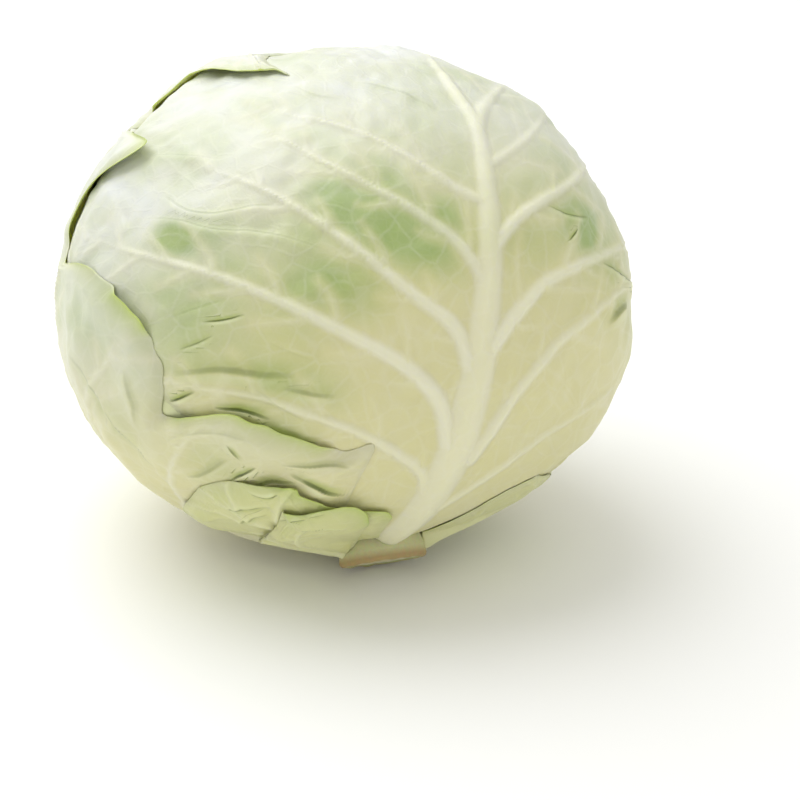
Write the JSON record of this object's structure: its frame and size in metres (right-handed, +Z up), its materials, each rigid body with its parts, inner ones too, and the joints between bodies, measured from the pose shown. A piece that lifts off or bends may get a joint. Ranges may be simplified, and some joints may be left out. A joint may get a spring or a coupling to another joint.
{
  "type": "cabbage head",
  "caption": "Whole head of pale green white cabbage, wrapped in overlapping veined leaves with cut leaf stubs round its stalk, lying tilted on a small flat spot.",
  "frame": {"origin": "middle of the flat rest spot, on the surface the head lies on", "axes": "+Z up, +X across the head from the torn leaf's side to the smooth side, +Y away from the side where the front leaf's rib and the stalk show"},
  "size_m": [0.1793, 0.1705, 0.1596],
  "materials": {
    "packed_leaves": "pale yellow-green leaf tissue, satin",
    "cut_stalk": "cream cut stalk, moist pith, matt",
    "leaf": "waxy pale green leaf with white ribs, soft sheen",
    "trimmed_leaf": "waxy pale green leaf with cut, slightly dried edges"
  },
  "bodies": {
    "root": {"inner_head": "packed_leaves", "stem_butt": "cut_stalk", "right_leaf": "leaf", "rear_leaf": "leaf", "front_leaf": "leaf", "left_leaf": "leaf", "back_leaf": "leaf", "trimmed_leaf_right": "trimmed_leaf", "trimmed_leaf_front": "trimmed_leaf", "trimmed_leaf_under": "trimmed_leaf"}
  },
  "joints": []
}
